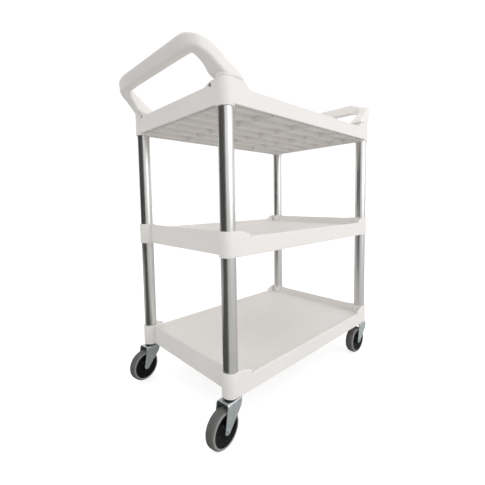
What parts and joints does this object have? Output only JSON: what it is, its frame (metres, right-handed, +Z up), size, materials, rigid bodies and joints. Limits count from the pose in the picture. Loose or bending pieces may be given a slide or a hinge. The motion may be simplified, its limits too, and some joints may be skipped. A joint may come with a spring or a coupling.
{
  "type": "three-shelf service cart",
  "caption": "Three-shelf moulded plastic service cart on round aluminium uprights, with a push handle at each end and swivel casters.",
  "frame": {"origin": "on the floor, under the middle of the cart", "axes": "+X along the cart's length towards the front handle, +Y across it, +Z up"},
  "size_m": [0.852, 0.4688, 0.983],
  "materials": {
    "shelf_plastic": "moulded off-white structural foam, fine grain",
    "brushed_tube": "extruded, satin anodised, fine draw lines along the tube",
    "zinc_steel": "bright zinc plate",
    "socket_plastic": "black nylon",
    "hub_plastic": "black moulded",
    "grey_tread": "grey non-marking thermoplastic rubber"
  },
  "bodies": {
    "chassis": {"top_tray": "shelf_plastic", "middle_tray": "shelf_plastic", "bottom_tray": "shelf_plastic", "push_handle_front": "shelf_plastic", "push_handle_rear": "shelf_plastic", "handle_screws": "zinc_steel", "upright_upper_front_left": "brushed_tube", "upright_lower_front_left": "brushed_tube", "caster_socket_front_left": "socket_plastic", "caster_stem_front_left": "zinc_steel", "top_race_front_left": "zinc_steel", "swivel_balls_front_left": "zinc_steel", "upright_upper_front_right": "brushed_tube", "upright_lower_front_right": "brushed_tube", "caster_socket_front_right": "socket_plastic", "caster_stem_front_right": "zinc_steel", "top_race_front_right": "zinc_steel", "swivel_balls_front_right": "zinc_steel", "upright_upper_rear_left": "brushed_tube", "upright_lower_rear_left": "brushed_tube", "caster_socket_rear_left": "socket_plastic", "caster_stem_rear_left": "zinc_steel", "top_race_rear_left": "zinc_steel", "swivel_balls_rear_left": "zinc_steel", "upright_upper_rear_right": "brushed_tube", "upright_lower_rear_right": "brushed_tube", "caster_socket_rear_right": "socket_plastic", "caster_stem_rear_right": "zinc_steel", "top_race_rear_right": "zinc_steel", "swivel_balls_rear_right": "zinc_steel"},
    "swivel_front_left": {"fork_front_left": "zinc_steel", "axle_bolt_front_left": "zinc_steel", "axle_nut_front_left": "zinc_steel", "axle_sleeve_front_left": "zinc_steel"},
    "wheel_front_left": {"wheel_hub_front_left": "hub_plastic", "wheel_tread_front_left": "grey_tread"},
    "swivel_front_right": {"fork_front_right": "zinc_steel", "axle_bolt_front_right": "zinc_steel", "axle_nut_front_right": "zinc_steel", "axle_sleeve_front_right": "zinc_steel"},
    "wheel_front_right": {"wheel_hub_front_right": "hub_plastic", "wheel_tread_front_right": "grey_tread"},
    "swivel_rear_left": {"fork_rear_left": "zinc_steel", "axle_bolt_rear_left": "zinc_steel", "axle_nut_rear_left": "zinc_steel", "axle_sleeve_rear_left": "zinc_steel"},
    "wheel_rear_left": {"wheel_hub_rear_left": "hub_plastic", "wheel_tread_rear_left": "grey_tread"},
    "swivel_rear_right": {"fork_rear_right": "zinc_steel", "axle_bolt_rear_right": "zinc_steel", "axle_nut_rear_right": "zinc_steel", "axle_sleeve_rear_right": "zinc_steel"},
    "wheel_rear_right": {"wheel_hub_rear_right": "hub_plastic", "wheel_tread_rear_right": "grey_tread"}
  },
  "joints": [
    {"name": "caster_swivel_front_left", "type": "hinge", "parent": "chassis", "child": "swivel_front_left", "pos_m": [0.34, 0.20925, 0.111], "axis": [0, 0, 1], "continuous": true},
    {"name": "wheel_spin_front_left", "type": "hinge", "parent": "swivel_front_left", "child": "wheel_front_left", "pos_m": [0.30705, 0.20752, 0.0485], "axis": [0.0523, -0.9986, 0], "continuous": true},
    {"name": "caster_swivel_front_right", "type": "hinge", "parent": "chassis", "child": "swivel_front_right", "pos_m": [0.34, -0.20925, 0.111], "axis": [0, 0, 1], "continuous": true},
    {"name": "wheel_spin_front_right", "type": "hinge", "parent": "swivel_front_right", "child": "wheel_front_right", "pos_m": [0.307, -0.20896, 0.0485], "axis": [-0.0087, -1, 0], "continuous": true},
    {"name": "caster_swivel_rear_left", "type": "hinge", "parent": "chassis", "child": "swivel_rear_left", "pos_m": [-0.34, 0.20925, 0.111], "axis": [0, 0, 1], "continuous": true},
    {"name": "wheel_spin_rear_left", "type": "hinge", "parent": "swivel_rear_left", "child": "wheel_rear_left", "pos_m": [-0.37265, 0.20443, 0.0485], "axis": [0.1461, -0.9893, 0], "continuous": true},
    {"name": "caster_swivel_rear_right", "type": "hinge", "parent": "chassis", "child": "swivel_rear_right", "pos_m": [-0.34, -0.20925, 0.111], "axis": [0, 0, 1], "continuous": true},
    {"name": "wheel_spin_rear_right", "type": "hinge", "parent": "swivel_rear_right", "child": "wheel_rear_right", "pos_m": [-0.37275, -0.21327, 0.0485], "axis": [0.1219, -0.9925, 0], "continuous": true}
  ]
}
